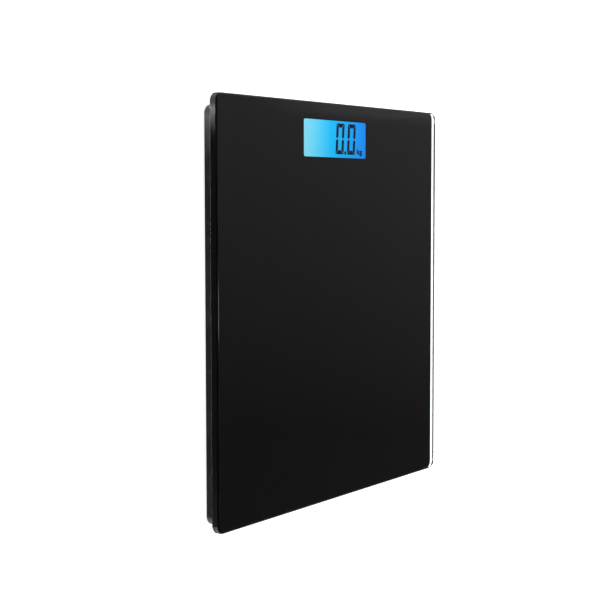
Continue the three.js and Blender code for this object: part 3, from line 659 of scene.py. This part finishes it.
def make_figures():
    """Two figures 0 and the decimal point between them, as dark crystal on the lit panel."""
    top = INK_BOTTOM + INK_THICK
    bm = bmesh.new()
    for left in DIGIT_LEFTS:
        for outline in segment_outlines(left, DIGIT_FOOT, DIGIT_WIDTH, DIGIT_HEIGHT, DIGIT_STROKE):
            add_prism(bm, outline, INK_BOTTOM, top)
    point_top = DIGIT_FOOT + POINT_HEIGHT
    point = [
        (POINT_LEFT, DIGIT_FOOT), (POINT_RIGHT, DIGIT_FOOT),
        (POINT_RIGHT + POINT_LEAN, point_top), (POINT_LEFT + POINT_LEAN, point_top),
    ]
    add_prism(bm, point, INK_BOTTOM, top)
    finish_piece("display_figures", bm, [INK], PLATFORM)


def make_unit_mark():
    """The unit to the right of the figures, in Blender's own lettering, made wider and lower."""
    text = bpy.data.curves.new("unit_mark", "FONT")
    text.body = "kg"
    text.size = UNIT_SIZE
    text.extrude = INK_THICK / 2
    text.offset = 0.24 * MM
    mark = bpy.data.objects.new("unit_mark_text", text)
    bpy.context.scene.collection.objects.link(mark)
    mesh = bpy.data.meshes.new_from_object(mark.evaluated_get(bpy.context.evaluated_depsgraph_get()))
    bpy.data.objects.remove(mark)
    place = Matrix.Translation((*UNIT_PLACE, INK_BOTTOM + INK_THICK / 2))
    mesh.transform(place @ Matrix.Diagonal((1.18, 0.8, 1, 1)))
    mesh.materials.clear()
    mesh.materials.append(INK)
    piece = bpy.data.objects.new("unit_mark", mesh)
    bpy.context.scene.collection.objects.link(piece)
    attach(piece, PLATFORM)


make_figures()
make_unit_mark()


# ---------------------------------------------------------------- casing and hatch

refined_copy("casing_shell", "casing", 0.22 * MM, PLATFORM, CASING)
refined_copy("battery_hatch", "battery_door", 0.15 * MM, "battery_door", CASING)


# ---------------------------------------------------------------- feet


def turned_piece(name, profile, x, y, material, node):
    """A turned shape on the platform, closed at both ends, in place of a CAD node."""
    bm = bmesh.new()
    rings = add_rings(bm, turned_rings(profile, x, y))
    bridge(bm, rings)
    cap(bm, rings[0], up=False)
    cap(bm, rings[-1], up=True)
    finish_piece(name, bm, [material], PLATFORM, [node], smooth_angle=40)


def shell_profile(outer, recess, ceiling, rim, top):
    """A foot's shell: from the recess for the pad, round the rim and the wall, to the boss in the middle."""
    inner = outer - FOOT_WALL
    return [
        (FOOT_CENTRE, ceiling), (recess - 0.3 * MM, ceiling),
        (recess, ceiling - 0.1 * MM), (recess, rim + 0.25 * MM),
        (recess + 0.2 * MM, rim + 0.04 * MM), (recess + 0.45 * MM, rim),
        (outer - 0.5 * MM, rim), (outer - 0.15 * MM, rim + 0.12 * MM),
        (outer, rim + 0.45 * MM), (outer, FOOT_WALL_TOP - 0.3 * MM),
        (outer - 0.1 * MM, FOOT_WALL_TOP - 0.08 * MM), (outer - 0.3 * MM, FOOT_WALL_TOP),
        (inner + 0.2 * MM, FOOT_WALL_TOP), (inner, FOOT_WALL_TOP - 0.2 * MM),
        (inner, FOOT_FLOOR_TOP + 0.3 * MM), (inner - 0.3 * MM, FOOT_FLOOR_TOP),
        (FOOT_BOSS + 0.5 * MM, FOOT_FLOOR_TOP), (FOOT_BOSS, FOOT_FLOOR_TOP + 0.4 * MM),
        (FOOT_BOSS, top - 0.4 * MM), (FOOT_BOSS - 0.4 * MM, top), (FOOT_CENTRE, top),
    ]


def tread_profile(radius, low, high):
    """A foot's rubber pad: round grooves in its underside, and a softly rounded rim."""
    bevel = 0.1 * MM
    profile = [(FOOT_CENTRE, low)]
    for start, end in TREAD_GROOVES:
        profile += [
            (start - TREAD_LIP, low), (start, low + TREAD_LIP), (start + bevel, low + TREAD_DEPTH),
            (end - bevel, low + TREAD_DEPTH), (end, low + TREAD_LIP), (end + TREAD_LIP, low),
        ]
    profile += [
        (radius - 0.8 * MM, low), (radius - 0.35 * MM, low + 0.12 * MM),
        (radius - 0.08 * MM, low + 0.42 * MM), (radius, low + 0.8 * MM),
        (radius, high - 0.15 * MM), (radius - 0.15 * MM, high), (FOOT_CENTRE, high),
    ]
    return profile


def make_foot(corner):
    """A turned plastic shell with a ribbed rubber pad in it."""
    shell, pad = f"foot_shell_{corner}", f"foot_pad_{corner}"
    shell_low, shell_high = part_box(shell)
    pad_low, pad_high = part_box(pad)
    x = (shell_low.x + shell_high.x) / 2
    y = (shell_low.y + shell_high.y) / 2
    outer = (shell_high.x - shell_low.x) / 2
    radius = (pad_high.x - pad_low.x) / 2
    cup = shell_profile(outer, radius + 0.3 * MM, pad_high.z + 0.2 * MM, shell_low.z, shell_high.z)
    turned_piece(f"foot_cup_{corner}", cup, x, y, SATIN, shell)
    tread = tread_profile(radius, pad_low.z, pad_high.z)
    turned_piece(f"foot_tread_{corner}", tread, x, y, RUBBER, pad)


for corner in CORNERS:
    make_foot(corner)


# ---------------------------------------------------------------- finishes of the carried-over parts

FINISHES = {
    "backing_film": FILM,
    "foam_tape": FOAM,
    "load_cell": STEEL,
    "cell_holder": WHITE,
    "cell_screw": BRIGHT_STEEL,
    "board_screw": BRIGHT_STEEL,
    "display_screw": BRIGHT_STEEL,
    "cell_lead": RED_LEAD,
    "battery_lead_negative": BLACK_LEAD,
    "battery_lead_positive": RED_LEAD,
    "circuit_board": GREEN,
    "led_board": GREEN,
    "chip_cap": EPOXY,
    "tact_switch": EPOXY,
    "coin_battery": STEEL,
    "battery_holder": WHITE,
    "contact": BRASS,
    "lcd_panel": DISPLAY,
    "light_guide": ACRYLIC,
    "reflector_sheet": WHITE,
    "display_frame": WHITE,
    "display_ribbon": AMBER,
    "unit_button": SATIN,
    "foot_shell": SATIN,
    "foot_pad": RUBBER,
    "casing": CASING,
    "battery_door": CASING,
    "glass_platform": GLASS,
}

for name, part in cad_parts.items():
    finish = next(material for start, material in FINISHES.items() if name.startswith(start))
    for slot in part.material_slots:
        slot.material = finish
